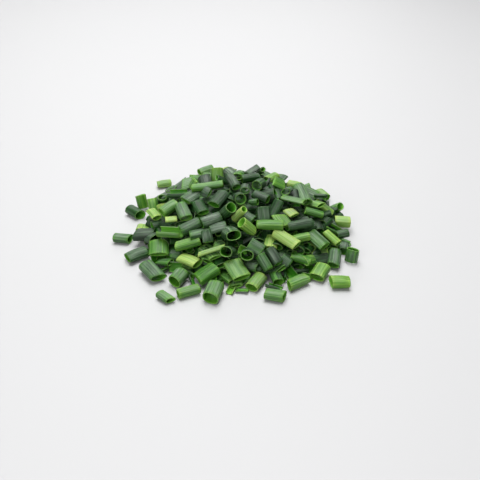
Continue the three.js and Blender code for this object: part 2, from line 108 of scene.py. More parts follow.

# %% [markdown]
# ### The lengths that have a name
#
# The strays round the foot, and the lengths that stand out on top, are listed one by one: name, middle,
# heading, tilt, length, width, thickness, tone from dark (0) to yellow-green (1), and what else differs.

# %% The named lengths
# The tones are partly the leaves' own and partly painted light and shade: higher at the heap's foot, lower in
# its middle.
NAMED = [
    ("far_left", -54, -14.5, -9, 0, 8.6, 5, 4.4, 0.35, {"slant": (0, 0.25)}),
    ("left_lying", -51.5, 7.5, -43, 0, 9.5, 5.4, 4.8, 0.25, {"slant": (0.1, 0.3)}),
    ("back_left_loose", -40.5, 36.5, 13, 0, 7.5, 4.4, 4, 0.7, {}),
    ("left_yellow", -40, -7.5, -60, 0, 7.8, 4.8, 3, 0.85, {}),
    ("left_blue", -43, -15.5, -2, 6, 10, 6.4, 5, 0.05, {"slant": (0.3, 0)}),
    ("left_low", -46, -27.5, 35, 0, 9.5, 6.4, 4.6, 0.25, {}),
    ("front_left_big", -37.5, -40.5, -54, 0, 12.5, 6.8, 5.8, 0.3, {"slant": (0.1, 0.25)}),
    ("front_cup", -26.5, -45, 68, -4, 8.5, 6.4, 5.4, 0.45, {"slant": (0.3, 0)}),
    ("front_loose_left", -30.5, -56, -42, 0, 8, 4.1, 3.4, 0.45, {"slant": (0.2, 0.4)}),
    ("front_low", -21.5, -52.5, 24, 0, 9.5, 4.6, 4.2, 0.6, {}),
    ("front_mid", -12.5, -54, 76, 0, 9.5, 6.9, 5.6, 0.5, {"slant": (0.15, 0)}),
    ("front_loose_right", 13.5, -55, -15, 0, 8.8, 5.2, 4.4, 0.5, {"slant": (0.1, 0.15)}),
    ("front_dark", 14.5, -44, -78, 0, 7, 4.8, 4.4, 0.35, {}),
    ("front_curl", -4, -49.5, 70, 0, 6.5, 3.2, 2.6, 0.7, {"split": 2.2}),
    ("front_green", 7, -46.5, 62, 0, 9, 6, 4.4, 0.75, {}),
    ("front_right_a", 22, -46.5, 33, 0, 10.5, 5, 4.6, 0.6, {"slant": (0.3, 0)}),
    ("front_right_b", 31, -40.5, 62, 3, 8, 6.6, 5.2, 0.7, {}),
    ("right_loose", 38.5, -46.5, 1, 0, 8.5, 6.2, 4.6, 0.7, {"slant": (-0.15, 0)}),
    ("right_dark", 40, -31.5, 78, 8, 9.5, 5.6, 5, 0.3, {"slant": (0.2, 0)}),
    ("right_cup", 46, -29, 60, 80, 6, 5.6, 5, 0.35, {}),
    ("right_foot", 45.5, -21.5, 80, 0, 6, 5, 4, 0.15, {}),
    ("right_bright", 47, -4, -6, 0, 7.5, 5.8, 5, 0.85, {}),
    ("right_grey", 45.5, -14, 20, 0, 6, 4.6, 3.6, 0.15, {}),
    ("back_right_pale", 41, 26, -65, 0, 8, 4.6, 4, 0.7, {}),
    ("left_standing", -49, 14.5, 120, 62, 7, 5.2, 4.6, 0.55, {}),
    ("back_loose", -19.5, 51, 35, 0, 8.5, 4.8, 4.2, 0.5, {}),
    ("front_big_left", -16.5, -44.5, 34, 16, 10, 7.2, 6, 0.5, {"slant": (0.1, -0.1)}),
    ("front_square", -1, -44, -62, -16, 10, 8.2, 4.2, 0.6, {"slant": (0.1, 0)}),
    ("yellow_wide", -24, -37.5, -30, -3, 10, 6, 3.8, 0.95, {"slant": (0.2, 0.2)}),
    ("left_square", -36, -27.5, -86, -16, 7.8, 8.6, 3.2, 0.5, {}),
    ("sliver_long", -13.5, -37.5, 12, 13, 13, 2.6, 1.8, 0.85, {"slant": (0.4, 0.4)}),
    ("right_big", 34, -25.5, -46, -18, 9.5, 6.8, 4.4, 0.45, {}),
    ("right_light", 40, -20.5, -47, -16, 8.5, 4.2, 3.4, 0.75, {}),
    ("left_open", -32, -24, -18, 8, 11.5, 5.6, 4.4, 0.6, {"split": 1.9}),
    ("left_mouth", -33.5, -10.5, 38, 18, 8.5, 5.6, 5, 0.5, {}),
    ("left_back_cup", -42, 4.5, 110, 50, 7, 4.8, 4.2, 0.6, {}),
    ("left_gutter", -29.5, -1.5, -10, 8, 8.5, 5, 4, 0.2, {"split": 2}),
    ("left_long", -25, -31, 10, 12, 11.5, 5, 4.4, 0.6, {"slant": (0.25, 0)}),
    ("grey_square", -16.5, -34, -74, -40, 5.5, 4.6, 2.6, 0.2, {}),
    ("low_dark", 13.5, -39, -56, -28, 8, 4.6, 4, 0.05, {}),
    ("mouth_low", 1.5, -38.5, 84, -26, 7, 5.6, 4.6, 0.2, {}),
    ("mid_long", 18.5, -30.5, -35, -14, 13, 5.8, 3.6, 0.9, {"slant": (-0.2, 0.1), "roll": 15}),
    ("mouth_wide", -4.5, -31.5, 110, -24, 8.5, 6.6, 6, 0.25, {}),
    ("left_mid", -25.5, -17, -70, -8, 9.5, 5.6, 4.8, 0.4, {}),
    ("right_dark_long", 25, -24.5, 22, -4, 12.5, 4.8, 4, 0.15, {}),
    ("mouth_bright", 1.5, -28.5, 190, 45, 7.5, 5.4, 5, 0.75, {}),
    ("bright_mid", -1, -23, -20, 52, 7.5, 4, 3.4, 0.9, {}),
    ("right_green", 32.5, -11.5, -6, -14, 8.5, 4.2, 3.6, 0.45, {}),
    ("diamond_near", -18, -17.5, -68, -6, 8.5, 5.6, 3, 0.2, {}),
    ("diamond_wide", -10, -14.5, -118, -8, 9.5, 6.4, 3.4, 0.15, {}),
    ("mouth_mid", -2, -14.5, 100, -20, 6.5, 5.2, 5, 0.2, {}),
    ("right_top_long", 28, -0.5, -79, -4, 14, 6, 3.8, 0.4, {}),
    ("mouth_back", 8, -3, 65, -14, 7, 5, 4.6, 0.2, {"slant": (0, 0.2)}),
    ("long_top", -15.5, -4, 7, 6, 15, 4.4, 4, 0.5, {"slant": (0.2, 0.1)}),
    ("grey_down", -4, -2.5, -67, -6, 9.5, 4.4, 4, 0.1, {}),
    ("top_green_right", 14, 10.5, 50, -4, 7.5, 4.6, 4, 0.75, {}),
    ("top_green_left", -20, 11, -16, 4, 7.5, 4, 3.4, 0.5, {}),
    ("top_cup", -11.5, 8.5, 98, 50, 7, 5.8, 5, 0.7, {}),
    ("top_grey", -7, 10.5, -60, 4, 7.5, 5.8, 4.6, 0.15, {}),
]
# Some more stand out that the solid model holds in its heap: the same figures, without a name.
HELD = [
    (12, -26.5, 2, -4, 11.5, 4.8, 4.2, 0.6, {}),
    (6, -36, -23, -22, 6.8, 6, 1.9, 0.3, {"roll": 30}),
    (9.5, -40.5, -51, -34, 7.5, 4.4, 3.8, 0.3, {}),
    (-6.5, -21.5, -30, 50, 7.5, 6, 5.4, 0.25, {}),
    (9.5, -22, -85, -46, 6.5, 5.6, 1.9, 0.15, {}),
    (14.5, -18, -124, -34, 8.5, 5, 2.4, 0.15, {}),
    (21.5, -17.5, -40, -20, 6, 5.5, 1.9, 1, {"slant": (0.4, 0.2)}),
    (17.5, -23, -50, -28, 8.5, 7, 1.9, 0.6, {"slant": (0.4, 0.2)}),
    (25.5, -28, 14, 4, 7.5, 3.8, 3.6, 0.65, {}),
    (-10, -28.5, 12, 10, 7.5, 4.6, 1.9, 0.2, {"roll": 30}),
    (-13, -25, 20, 10, 9, 5.4, 5, 0.15, {}),
    (-22, -25.5, 25, 14, 9.5, 5.6, 5, 0.25, {}),
    (-17.5, -29.5, 12, 6, 9.5, 4.6, 4, 0.3, {}),
    (-25, 8.5, 24, 4, 10, 7, 1.9, 0.5, {"slant": (0.4, -0.3), "roll": 15}),
    (-37.5, 12, 35, 12, 9, 4.2, 3.8, 0.1, {}),
    (-1.5, 4.5, -100, 22, 6, 4.8, 4.6, 0.5, {}),
    (-5.5, -37.5, 70, -30, 7, 5.6, 4.6, 0.2, {}),
    (18.5, -38.5, -35, -20, 5, 4.4, 1.9, 0.2, {"roll": 30}),
    (-31, -18, 10, 0, 5.5, 4, 1.9, 0.95, {}),
    (-36.5, 2, -100, 40, 6, 4.4, 4, 0.3, {}),
    (1.5, -8.5, 88, -16, 6, 4.4, 4.2, 0.1, {}),
    (8.5, -12.5, -32, -6, 7.5, 4.8, 4, 0.15, {}),
    (25, -36, -14, -12, 9, 4.6, 4, 0.5, {}),
    (4, 3, 20, 0, 9, 4.4, 4, 0.2, {}),
    (25, 10, -20, 0, 6.5, 5, 4.2, 0.9, {}),
]
print("named lengths", len(NAMED))

# %% [markdown]
# ### A draw that always comes out the same
#
# This small generator multiplies and keeps the remainder. The solid model uses the same one with the same
# start, so both lay the same heap.

# %% The repeatable draw
MULTIPLIER = 48271
DIVISOR = 2147483647
draw = 7151


def random():
    global draw
    draw = draw * MULTIPLIER % DIVISOR
    return draw / DIVISOR


def between(low, high):
    return low + (high - low) * random()


# %% [markdown]
# ### Feeling what lies below
#
# A length's outside is sampled as points. Turned to a pose, each point looks up the height map under it, and
# the one that touches first decides how high the length rests. NumPy does all poses of a length at once.

# %% Points on a length, and turning them
def skin_of(leaf):
    steps = math.ceil(leaf["length"] / SKIN_STEP)
    turn = 2 * math.pi * np.arange(SKIN_AROUND) / SKIN_AROUND
    share = (np.arange(steps + 1) / steps)[:, None]
    near, far = leaf["slant"]
    y = (leaf["width"] / 2) * np.cos(turn)
    start = -leaf["length"] / 2 + (leaf["width"] / 2) * abs(near) + near * y
    end = leaf["length"] / 2 - (leaf["width"] / 2) * abs(far) + far * y
    x = start + (end - start) * share
    y = np.broadcast_to(y, x.shape)
    z = np.broadcast_to((leaf["thick"] / 2) * np.sin(turn), x.shape)
    return np.stack([x, y, z], axis=-1).reshape(-1, 3)


# Each row of poses is x, y, heading, tilt and roll, with the angles in radians.
def turn_points(points, poses):
    x, y, z = points.T
    px, py, heading, tilt, roll = (column[:, None] for column in np.atleast_2d(poses).T)
    side = y * np.cos(roll) - z * np.sin(roll)
    lift = y * np.sin(roll) + z * np.cos(roll)
    fore = x * np.cos(tilt) - lift * np.sin(tilt)
    return np.stack([
        px + fore * np.cos(heading) - side * np.sin(heading),
        py + fore * np.sin(heading) + side * np.cos(heading),
        x * np.sin(tilt) + lift * np.cos(tilt),
    ], axis=-1)


# %% The height map
MAP_SIZE = 2 * MAP_HALF // CELL
ground = np.zeros(MAP_SIZE * MAP_SIZE)


def cell_at(x, y):
    column = np.floor((x + MAP_SHIFT) / CELL).astype(int) + MAP_HALF // CELL
    row = np.floor((y + MAP_SHIFT) / CELL).astype(int) + MAP_HALF // CELL
    return row * MAP_SIZE + column


# How far out a point of a floor plan is: 0 in the middle of the heap, 1 at the plan's edge.
def outness(plan, x, y):
    half_depth = np.where(y < MIDDLE[1], plan["half_depth"], plan["half_back"])
    return ((x - MIDDLE[0]) / plan["half_width"]) ** 2 + ((y - MIDDLE[1]) / half_depth) ** 2


def mound_height(mound, x, y):
    slope = 1 - mound["lean"] * (x - MIDDLE[0]) / mound["half_width"]
    return mound["peak"] * slope * max(1 - outness(mound, x, y), 0) ** mound["fullness"]


def resting_heights(turned):
    reach = ground[cell_at(turned[..., 0], turned[..., 1])] - turned[..., 2]
    return np.maximum(0, reach.max(axis=-1))


def lay(found):
    x, y, z = found["turned"].T
    np.maximum.at(ground, cell_at(x, y), z + found["z"] + found["leaf"]["clear"])


# %% Laying the listed lengths
def leaf_of_row(name, length, width, thick, tone, more):
    leaf = {"name": name, "length": length, "width": width, "thick": thick, "tone": tone}
    leaf.update({"slant": (0, 0), "split": 0, "roll": 0, "clear": GAP, **more})
    return leaf


def found_at(leaf, x, y, heading, tilt):
    pose = (x, y, *(math.radians(angle) for angle in (heading, tilt, leaf["roll"])))
    turned = turn_points(skin_of(leaf), pose)[0]
    level = max(mound_height(HEAP, x, y) - NAMED_DEPTH, -turned[:, 2].min())
    return {"leaf": leaf, "pose": pose, "z": level, "turned": turned}


def place_named():
    laid = []
    for name, x, y, heading, tilt, length, width, thick, tone, more in NAMED:
        leaf = leaf_of_row(name, length, width, thick, tone, more)
        best = None
        for slide_y in SLIDES:
            for slide_x in SLIDES:
                found = found_at(leaf, x + slide_x, y + slide_y, heading, tilt)
                lift = max(resting_heights(found["turned"][None])[0] - found["z"], 0)
                if best is None or lift < least_lift - SAME:
                    best, least_lift = found, lift
        best["z"] += least_lift
        lay(best)
        laid.append(best)
    return laid


def place_held():
    return [
        found_at(leaf_of_row("held", length, width, thick, tone, more), x, y, heading, tilt)
        for x, y, heading, tilt, length, width, thick, tone, more in HELD
    ]


# %% First the listed lengths
named = place_named()
held = place_held()
for found in held:
    lay(found)
placed_top = ground.copy()
print("highest of them", placed_top.max(), "mm")


# %% Keeping clear of the listed lengths
def is_inside(points, other):
    px, py, heading, tilt, roll = other["pose"]
    dx, dy, dz = (points - (px, py, other["z"])).T
    fore = dx * math.cos(heading) + dy * math.sin(heading)
    side = dy * math.cos(heading) - dx * math.sin(heading)
    along = fore * math.cos(tilt) + dz * math.sin(tilt)
    lift = dz * math.cos(tilt) - fore * math.sin(tilt)
    across = side * math.cos(roll) + lift * math.sin(roll)
    up = lift * math.cos(roll) - side * math.sin(roll)
    leaf = other["leaf"]
    round_it = (across / (leaf["width"] / 2)) ** 2 + (up / (leaf["thick"] / 2)) ** 2
    return (round_it < 1) & (abs(along) < leaf["length"] / 2)


def is_clear(found):
    points = found["turned"] + (0, 0, found["z"])
    inside = np.zeros(len(points), bool)
    for other in named + held:
        if math.dist(other["pose"][:2], found["pose"][:2]) < REACH:
            inside |= is_inside(points, other)
    top = placed_top[cell_at(*points[:, :2].T)]
    hides = (top > 0) & (points[:, 2] > top)
    return inside.sum() < CLASH_SHARE * len(points) and hides.sum() < HIDE_SHARE * len(points)


# %% Laying the lengths between them
def any_leaf(rule):
    length = between(*rule["length"])
    width = between(*rule["width"])
    flatness = between(*FLATNESS)
    slant = (between(*SLANT), between(*SLANT))
    kind = random()
    leaf = {"length": length, "width": width, "thick": width * flatness, "slant": slant}
    leaf.update({"split": 0, "clear": -PRESS})
    if kind < SHUT_SHARE:
        leaf.update({"width": width * SHUT_WIDER, "thick": SHUT_THICK})
    elif kind > 1 - SPLIT_SHARE:
        leaf["split"] = SPLIT_OPEN
    return leaf


def any_pose(rule, x, y):
    return (
        x + between(-DRIFT, DRIFT),
        y + between(-DRIFT, DRIFT),
        between(0, 2 * math.pi),
        math.radians(between(-rule["tilt"], rule["tilt"])),
        math.radians(between(-MAX_ROLL, MAX_ROLL)),
    )


def offer(rule, x, y, laid):
    leaf = any_leaf(rule)
    poses = np.array([any_pose(rule, x, y) for _ in range(rule["poses"])])
    turned = turn_points(skin_of(leaf), poses)
    heights = resting_heights(turned)
    best = 0
    for i, height in enumerate(heights):
        if height < heights[best] - SAME:
            best = i
    z = heights[best]
    roof = max(mound_height(HEAP, poses[best][0], poses[best][1]) + rule["out"], FOOT_HEIGHT)
    if z + turned[best][:, 2].max() > roof or outness(FOOT, *turned[best][:, :2].T).max() > 1:
        return
    found = {"leaf": leaf, "pose": tuple(poses[best]), "z": z, "turned": turned[best]}
    if is_clear(found):
        lay(found)
        laid.append(found)


def fill_heap(rule):
    laid = []
    for n in range(rule["tries"]):
        out = math.sqrt((n % SPOTS + 0.5) / SPOTS)
        turn = n * GOLDEN_TURN
        depth = HEAP["half_back"] if math.sin(turn) > 0 else HEAP["half_depth"]
        x = MIDDLE[0] + HEAP["half_width"] * out * math.cos(turn)
        y = MIDDLE[1] + depth * out * math.sin(turn)
        offer(rule, x, y, laid)
    return laid


# %% Filling the hollows that are left
def average_height(x, y):
    steps = np.arange(-2, 3) * CELL
    return ground[cell_at(x + steps[:, None], y + steps[None, :])].mean()


def fill_hollows(rule):
    laid = []
    across = np.arange(-HEAP["half_width"], HEAP["half_width"] + SAME, rule["spacing"])
    deep = np.arange(-HEAP["half_depth"], HEAP["half_depth"] + SAME, rule["spacing"])
    for _ in range(rule["rounds"]):
        for dy in deep:
            for dx in across:
                x, y = MIDDLE[0] + dx, MIDDLE[1] + dy
                if mound_height(HEAP, x, y) - average_height(x, y) > rule["hollow"]:
                    offer(rule, x, y, laid)
    return laid


# %% Building the heap in that order
ground[:] = 0
under = fill_heap(FIRST)
for found in named + held:
    lay(found)
over = fill_hollows(LAST)
print("lengths under", len(under), "placed", len(named), "and", len(held), "over", len(over))

# %% [markdown]
# Under the lengths that the rule lays, the solid model has a plain core. It is more leaf, seen only as dark
# green through the gaps, so here it becomes lengths too: nearly level ones just under the core's surface,
# spread like a sunflower's seeds. Their draw is a separate one, because nothing else has to match it.

# %% The lengths deep inside
# Their tilt is in degrees and their roll in radians.
CORE = {
    "half_width": 46.0, "half_depth": 40.0, "half_back": 32.0, "peak": 21.5, "fullness": 0.8, "lean": 0.12,
}
DEEP = 260
DEEP_SIZE = {"length": (8, 13), "width": (5, 7), "flatness": (0.5, 0.8)}
DEEP_TILT = 18
DEEP_ROLL = 0.4
# The deep lengths get the darkest tone: painted shade for where they lie inside the heap.
DEEP_SHADE_TONE = 0.05
DEEP_REACH = 0.92


def deep_length(number, chance):
    out = math.sqrt((number + 0.5) / DEEP)
    turn = number * GOLDEN_TURN
    half_depth = CORE["half_back"] if math.sin(turn) > 0 else CORE["half_depth"]
    x = MIDDLE[0] + CORE["half_width"] * out * DEEP_REACH * math.cos(turn)
    y = MIDDLE[1] + half_depth * out * DEEP_REACH * math.sin(turn)
    size = {key: chance.uniform(*limits) for key, limits in DEEP_SIZE.items()}
    thick = size["width"] * size["flatness"]
    # They get no wax either, so no grey shows in their painted shade.
    leaf = leaf_of_row("", size["length"], size["width"], thick, DEEP_SHADE_TONE, {"wax": 0.0})
    tilt = math.radians(chance.uniform(-DEEP_TILT, DEEP_TILT))
    pose = (x, y, chance.uniform(0, 2 * math.pi), tilt, chance.uniform(-DEEP_ROLL, DEEP_ROLL))
    top = max(mound_height(CORE, x, y), thick)
    return {"leaf": leaf, "pose": pose, "z": top - thick / 2}


depths = np.random.default_rng(11)
deep = [deep_length(number, depths) for number in range(DEEP)]
print("lengths deep inside", len(deep))

# %% [markdown]
# The solid model may let a length of the heap run into one of the listed ones, where a real leaf would give
# way. The fine lengths do: each goes down by up to a few millimetres, to where it crosses the placed ones and
# the floor least.

# %% Giving way by a few millimetres
DROPS = (0, 0.6, 1.2, 1.8, 2.4, 3.0)


def crossing(found, drop):
    points = turn_points(skin_of(found["leaf"]), np.array([found["pose"]]))[0] + (0, 0, found["z"] - drop)
    inside = np.zeros(len(points), bool)
    for other in named + held:
        if math.dist(found["pose"][:2], other["pose"][:2]) < REACH:
            inside |= is_inside(points, other)
    return inside.mean() + (points[:, 2] < 0).mean()


for found in under + deep:
    found["z"] -= min(DROPS, key=lambda drop: crossing(found, drop))
print("lowest middle", min(found["z"] for found in under + deep), "mm up")

# %% [markdown]
# Chopping leaves scraps too, open curls and slivers of leaf, which lie low between the lengths round the
# front. They are too thin for the solid model, so they are only here. Each is laid on the floor with its open
# side upwards, and stays where it hardly runs into another length.

# %% The scraps round the front
# The band is a range of outness on the foot's plan, and the side a range of directions in degrees.
SCRAP_TRIES = 900
SCRAP_BAND = (0.56, 0.94)
SCRAP_SIDE = (195, 345)
SCRAP_SIZE = {
    "length": (4.5, 8), "width": (2.6, 4.8), "flatness": (0.5, 0.9), "split": (1.4, 3.0), "tone": (0.0, 0.55),
}
SCRAP_TILT = 8
SCRAP_ROLL = 75
SCRAP_CLASH = 0.12


def try_scrap(chance):
    out = math.sqrt(chance.uniform(*SCRAP_BAND))
    turn = math.radians(chance.uniform(*SCRAP_SIDE))
    x = MIDDLE[0] + FOOT["half_width"] * out * math.cos(turn)
    y = MIDDLE[1] + FOOT["half_depth"] * out * math.sin(turn)
    size = {key: chance.uniform(*limits) for key, limits in SCRAP_SIZE.items()}
    thick = size["width"] * size["flatness"]
    leaf = leaf_of_row("", size["length"], size["width"], thick, size["tone"], {"split": size["split"]})
    heading = chance.uniform(0, 360)
    tilt = chance.uniform(-SCRAP_TILT, SCRAP_TILT)
    roll = chance.uniform(-SCRAP_ROLL, SCRAP_ROLL)
    pose = (x, y, *(math.radians(angle) for angle in (heading, tilt, roll)))
    turned = turn_points(skin_of(leaf), np.array([pose]))[0]
    return {"leaf": leaf, "pose": pose, "z": -turned[:, 2].min(), "turned": turned}


def is_free(found, others):
    points = found["turned"] + (0, 0, found["z"])
    near = [other for other in others if math.dist(found["pose"][:2], other["pose"][:2]) < REACH]
    return not any(is_inside(points, other).mean() > SCRAP_CLASH for other in near)


scraps = []
chances = np.random.default_rng(5)
for _ in range(SCRAP_TRIES):
    found = try_scrap(chances)
    if is_free(found, named + held + under + over + deep + scraps):
        scraps.append(found)
print("scraps", len(scraps))

# %% [markdown]
# The rule works round its own zero, and the solid model was then centred on its box. One loose length that
# lies level shows by how much everything has to move.

# %% From the rule's place to the frame's
low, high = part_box("back_left_loose")
level_one = next(found for found in named if found["leaf"]["name"] == "back_left_loose")
MOVE = (
    (low[0] + high[0]) / 2 / MM - level_one["pose"][0],
    (low[1] + high[1]) / 2 / MM - level_one["pose"][1],
)
print("moved by", MOVE)

# %% [markdown]
# ## One chopped length
#
# A chopped leaf is a thin tube. Real ones are rarely round: the knife flattens them, so the section is an
# oval with soft creases at its sides, sometimes dented on top, and the cuts slope. All of that can be said
# with a formula in two numbers, how far along the leaf and how far round it. So Geometry Nodes make a plain
# ring of faces once, copy it to one point for every length, and a formula bends each copy into its own leaf.
#
# Formulas made of Math nodes are long to write, so a small class lets a node's output be added and multiplied
# like a number.

# %% Formulas made of nodes
class Value:
    def __init__(self, tree, socket):
        self.tree = tree
        self.socket = socket

    def __add__(self, other):
        return calc(self.tree, "ADD", self, other)

    def __radd__(self, other):
        return calc(self.tree, "ADD", other, self)

    def __sub__(self, other):
        return calc(self.tree, "SUBTRACT", self, other)

    def __rsub__(self, other):
        return calc(self.tree, "SUBTRACT", other, self)

    def __mul__(self, other):
        return calc(self.tree, "MULTIPLY", self, other)

    def __rmul__(self, other):
        return calc(self.tree, "MULTIPLY", other, self)

    def __truediv__(self, other):
        return calc(self.tree, "DIVIDE", self, other)

    def __pow__(self, other):
        return calc(self.tree, "POWER", self, other)


def feed(tree, socket, value):
    if isinstance(value, Value):
        tree.links.new(value.socket, socket)
    else:
        socket.default_value = value


def add(tree, kind, inputs=(), output=0, **settings):
    node = tree.nodes.new(kind)
    for name, value in settings.items():
        setattr(node, name, value)
    pairs = inputs.items() if isinstance(inputs, dict) else enumerate(inputs)
    for key, value in pairs:
        feed(tree, node.inputs[key], value)
    return Value(tree, node.outputs[output])


def calc(tree, operation, *values):
    return add(tree, "ShaderNodeMath", values, operation=operation)


def is_near(value, target):
    return calc(value.tree, "COMPARE", value, target, 0.5)


def clamped(value, low, high):
    return calc(value.tree, "MINIMUM", calc(value.tree, "MAXIMUM", value, low), high)


def tree_input(tree, name, kind, default=None):
    socket = tree.interface.new_socket(name=name, in_out="INPUT", socket_type=kind)
    if default is not None:
        socket.default_value = default
    return socket


# %% [markdown]
# ### The ring of faces
#
# A grid is rolled up into a ring whose faces run along the outside, over one cut, back along the inside and
# over the other cut. Each corner remembers which step along the leaf it is, how far round, how far through
# the wall, and whether it is the middle of a cut. The ring's own shape doesn't matter, as the formula moves
# every corner. A leaf that has split along its length is no ring, so it starts from a thin slab instead.

# %% Attributes kept on the corners
def store(tree, geometry, name, value, kind="FLOAT"):
    return add(
        tree, "GeometryNodeStoreNamedAttribute",
        {"Geometry": geometry, "Name": name, "Value": value},
        data_type=kind, domain="POINT",
    )


def named_value(tree, name, kind="FLOAT"):
    return add(tree, "GeometryNodeInputNamedAttribute", {"Name": name}, data_type=kind)


def split_vector(tree, vector):
    node = tree.nodes.new("ShaderNodeSeparateXYZ")
    feed(tree, node.inputs[0], vector)
    return [Value(tree, output) for output in node.outputs]


# %% The closed ring
RING_RADIUS = 2
SEAM = 0.001


# The mark counts the grid's columns: 0 is the near end outside, steps the far end outside, steps + 1 the far
# cut, then the inside comes back, and the last one is the near cut.
def closed_ring(tree, steps, around):
    profile = 2 * steps + 4
    grid = add(tree, "GeometryNodeMeshGrid", {
        "Size X": 1.0, "Size Y": 1.0, "Vertices X": profile + 1, "Vertices Y": around + 1,
    })
    x, y, _ = split_vector(tree, add(tree, "GeometryNodeInputPosition"))
    mark = calc(tree, "MODULO", calc(tree, "ROUND", (x + 0.5) * profile), profile)
    share = calc(tree, "MODULO", calc(tree, "ROUND", (y + 0.5) * around), around) / around
    past_far_cut = mark - (steps + 1)
    on_far_cut = is_near(past_far_cut, 0)
    on_near_cut = is_near(mark, profile - 1)
    along = clamped((steps + 1) - calc(tree, "ABSOLUTE", past_far_cut), 0, steps)
    on_inside = calc(tree, "GREATER_THAN", past_far_cut, 0.5) * (1 - on_near_cut)
    ring = store(tree, grid, "along_step", along)
    ring = store(tree, ring, "around", share)
    ring = store(tree, ring, "through", on_inside + 0.5 * (on_far_cut + on_near_cut))
    ring = store(tree, ring, "rim", on_far_cut - on_near_cut)
    turn = share * (2 * math.pi)
    tip = (x + 0.5) * (2 * math.pi)
    radius = calc(tree, "COSINE", tip) + RING_RADIUS
    place = add(tree, "ShaderNodeCombineXYZ", (
        radius * calc(tree, "COSINE", turn), radius * calc(tree, "SINE", turn), calc(tree, "SINE", tip),
    ))
    ring = add(tree, "GeometryNodeSetPosition", {"Geometry": ring, "Position": place})
    return add(tree, "GeometryNodeMergeByDistance", {"Geometry": ring, "Distance": SEAM})


# %% The split wall
SLAB_END = 0.499


def split_wall(tree, steps, around):
    slab = add(tree, "GeometryNodeMeshCube", {
        "Size": (1.0, 1.0, 1.0), "Vertices X": steps + 1, "Vertices Y": around + 1, "Vertices Z": 3,
    })
    x, y, z = split_vector(tree, add(tree, "GeometryNodeInputPosition"))
    through = 0.5 - z
    on_end = calc(tree, "GREATER_THAN", x, SLAB_END) - calc(tree, "LESS_THAN", x, -SLAB_END)
    wall = store(tree, slab, "along_step", (x + 0.5) * steps)
    wall = store(tree, wall, "around", y + 0.5)
    wall = store(tree, wall, "through", through)
    return store(tree, wall, "rim", on_end * is_near(through * 4, 2))


# %% [markdown]
# ### The leaf's formula
#
# Everything is worked out in millimetres in the leaf's own frame: X along it, Y across and Z up. Then the
# leaf is turned and moved to its place, in metres. What differs from leaf to leaf comes from attributes, and
# what all leaves of an object share are the tree's inputs: how many steps along and around, how wide the
# rounding of a cut is, how far the cut swells, and how much room its wave needs.

# %% From two numbers to a leaf
EDGE = 0.3
SWELL = 0.12
WAVE = 0.12


def leaf_shape(tree, given):
    def get(name):
        return named_value(tree, name)

    steps, edge, swell = given["Steps"], given["Edge"], given["Swell"]
    room = edge + swell + given["Wave"]
    step, share, through, rim = get("along_step"), get("around"), get("through"), get("rim")
    length, width, thick = get("length"), get("width"), get("thick")
    split, wall = get("split"), get("wall")
    angle = share * (2 * math.pi - split) + split / 2 + math.pi / 2
    cosine = calc(tree, "COSINE", angle)
    sine = calc(tree, "SINE", angle)
    inner = clamped((step - 1) / (steps - 2), 0, 1)
    end_side = inner * 2 - 1
    squeeze = 1 - get("squeeze") * clamped(end_side * get("squeezed_end"), 0, 1) ** 2
    half_width = width / 2 - through * wall
    half_thick = thick / 2 * squeeze - through * wall
    y = half_width * cosine
    # A crease above 0 sharpens the section's sides, and one below 0 makes the section fuller.
    size = calc(tree, "ABSOLUTE", sine)
    z = half_thick * sine * size ** get("crease")
    top = clamped(sine, 0, 1)
    z = z - get("dent") * thick * squeeze * top * top
    near_start = width / 2 * calc(tree, "ABSOLUTE", get("slant_near")) + get("slant_near") * y
    far_start = width / 2 * calc(tree, "ABSOLUTE", get("slant_far")) - get("slant_far") * y
    wave = get("wave") * calc(tree, "SINE", angle * 2 + get("seed") * 20)
    start = length * -0.5 + near_start + wave + room
    end = length * 0.5 - far_start + wave - room
    x = start + (end - start) * inner
    x = x + edge * clamped(step - 1, -1, 0) + edge * clamped(step - (steps - 1), 0, 1) + swell * rim
    # A bent leaf keeps its place on the whole, because the mean is taken off.
    span = x * x - length * length / 12
    y = y + get("sway") * span
    z = z + get("bend") * span
    local = add(tree, "ShaderNodeCombineXYZ", (x * MM, y * MM, z * MM))
    rest = add(tree, "ShaderNodeCombineXYZ", (x, half_width * cosine, half_width * sine))
    cut = calc(tree, "MINIMUM", x - start + edge, end - x + edge)
    return local, rest, cut


# %% The tree
TREE_INPUTS = [
    ("Geometry", "NodeSocketGeometry", None),
    ("Leaf", "NodeSocketMaterial", None),
    ("Steps", "NodeSocketInt", 10),
    ("Around", "NodeSocketInt", 32),
    ("Edge", "NodeSocketFloat", EDGE),
    ("Swell", "NodeSocketFloat", SWELL),
    ("Wave", "NodeSocketFloat", WAVE),
]


